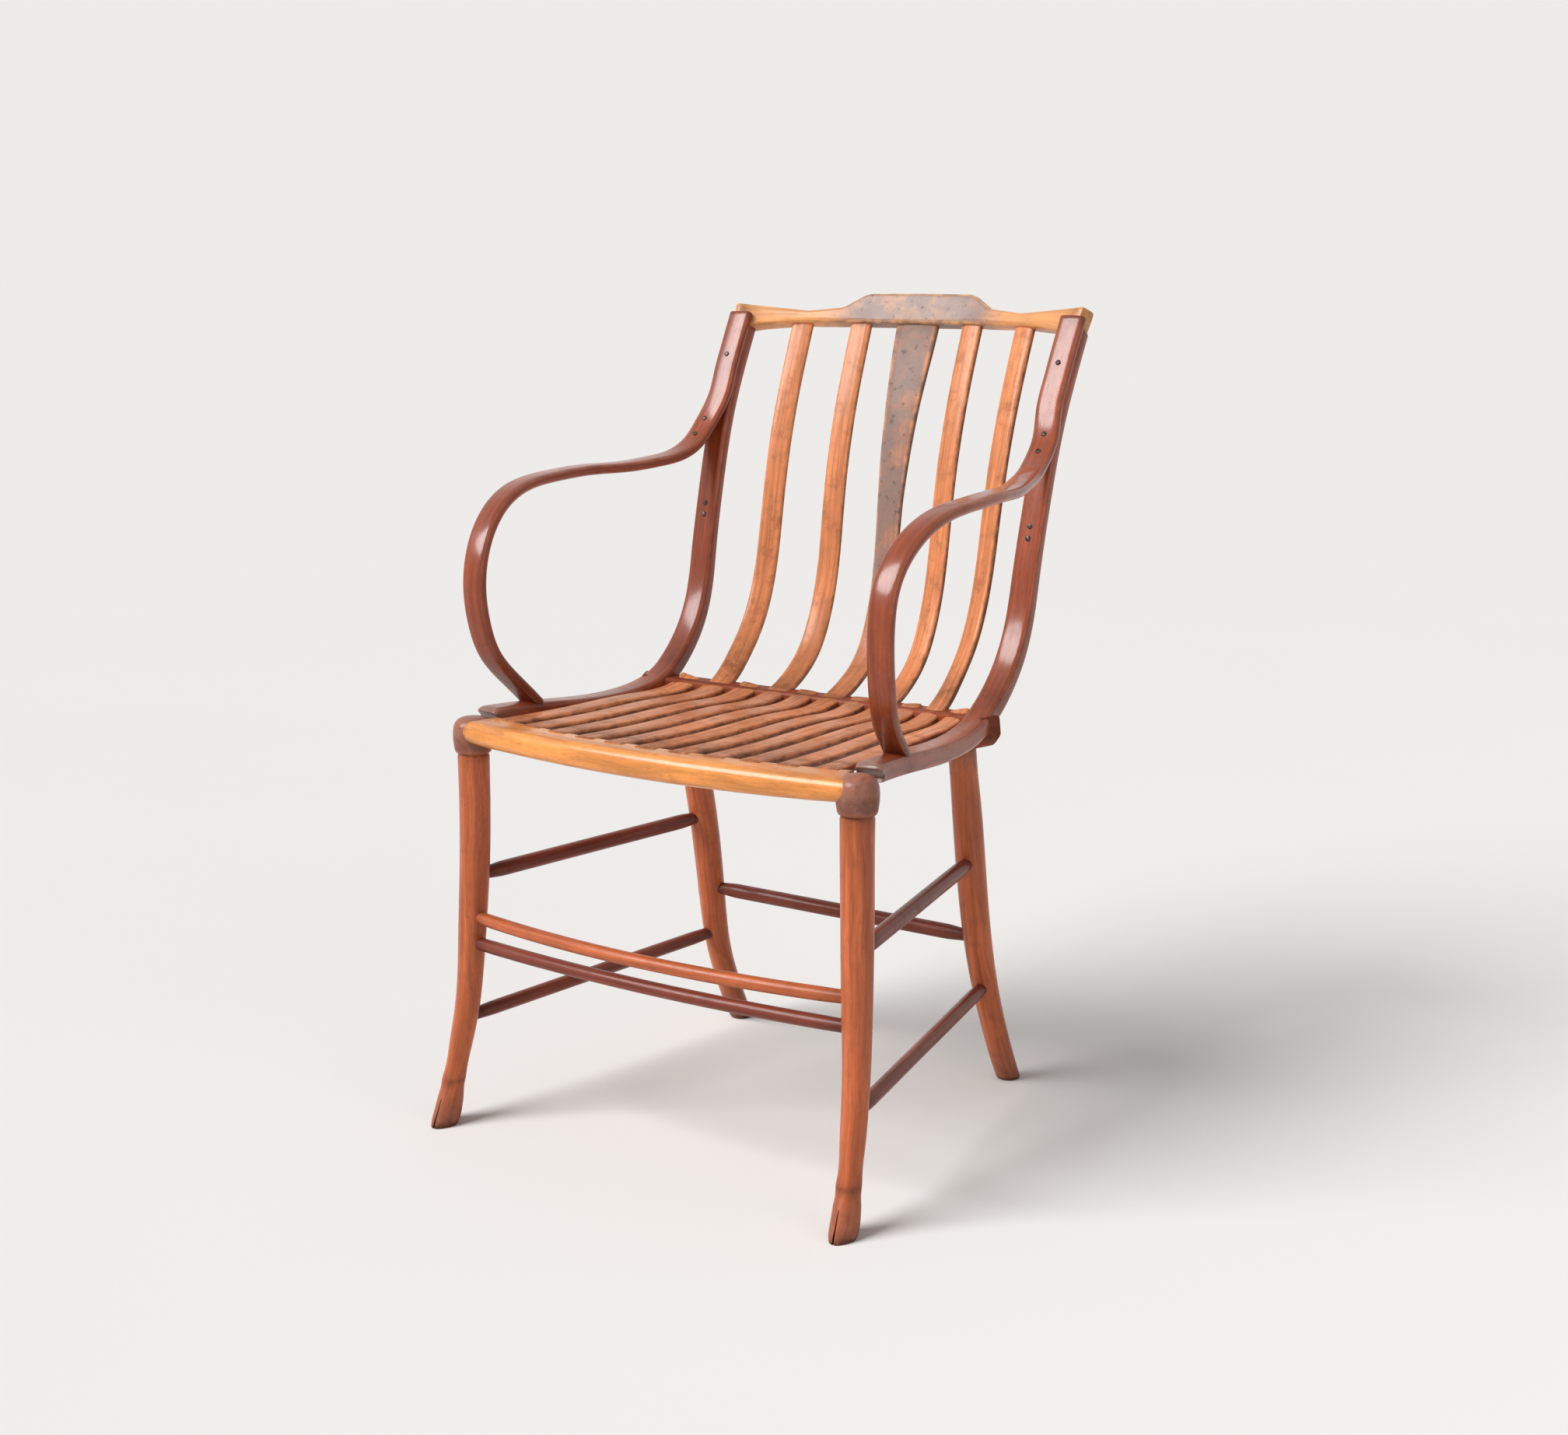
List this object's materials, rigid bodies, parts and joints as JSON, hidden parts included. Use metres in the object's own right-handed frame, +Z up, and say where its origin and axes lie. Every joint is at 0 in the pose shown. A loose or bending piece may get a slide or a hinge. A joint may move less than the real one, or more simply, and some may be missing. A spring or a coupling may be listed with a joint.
{
  "type": "bentwood armchair",
  "caption": "Open bentwood armchair: slatted seat and raked back in one sweep, looped bent arms, sabre legs on hoof feet, thin stretchers.",
  "frame": {"origin": "on the floor, in the middle of the chair's width and depth", "axes": "+Z up; the sitter faces -Y; +X is the viewer's right in front of the chair"},
  "size_m": [0.5554, 0.6046, 0.8834],
  "materials": {
    "varnish": "worn reddish varnish, satin gloss",
    "amber": "amber varnish, gloss along the edge",
    "worn": "old paint worn down to the wood, dull",
    "seat": "rubbed varnish with grime, satin",
    "turned": "dark varnish, satin",
    "leg": "rubbed varnish, satin"
  },
  "bodies": {
    "root": {"arm_left": "varnish", "arm_right": "varnish", "back_slat_left_inner": "seat", "back_slat_left_outer": "seat", "back_slat_right_inner": "seat", "back_slat_right_outer": "seat", "back_splat": "worn", "crest_rail": "worn", "front_leg_left": "leg", "front_leg_right": "leg", "front_seat_rail": "amber", "front_stretcher_lower": "turned", "front_stretcher_upper": "turned", "rear_leg_left": "leg", "rear_leg_right": "leg", "rear_seat_rail": "varnish", "rear_stretcher": "turned", "seat_slat_left_inner": "seat", "seat_slat_left_middle": "seat", "seat_slat_left_outer": "seat", "seat_slat_right_inner": "seat", "seat_slat_right_middle": "seat", "seat_slat_right_outer": "seat", "side_stretcher_lower_left": "turned", "side_stretcher_lower_right": "turned", "side_stretcher_upper_left": "turned", "side_stretcher_upper_right": "turned", "stile_rail_left": "varnish", "stile_rail_right": "varnish"}
  },
  "joints": []
}
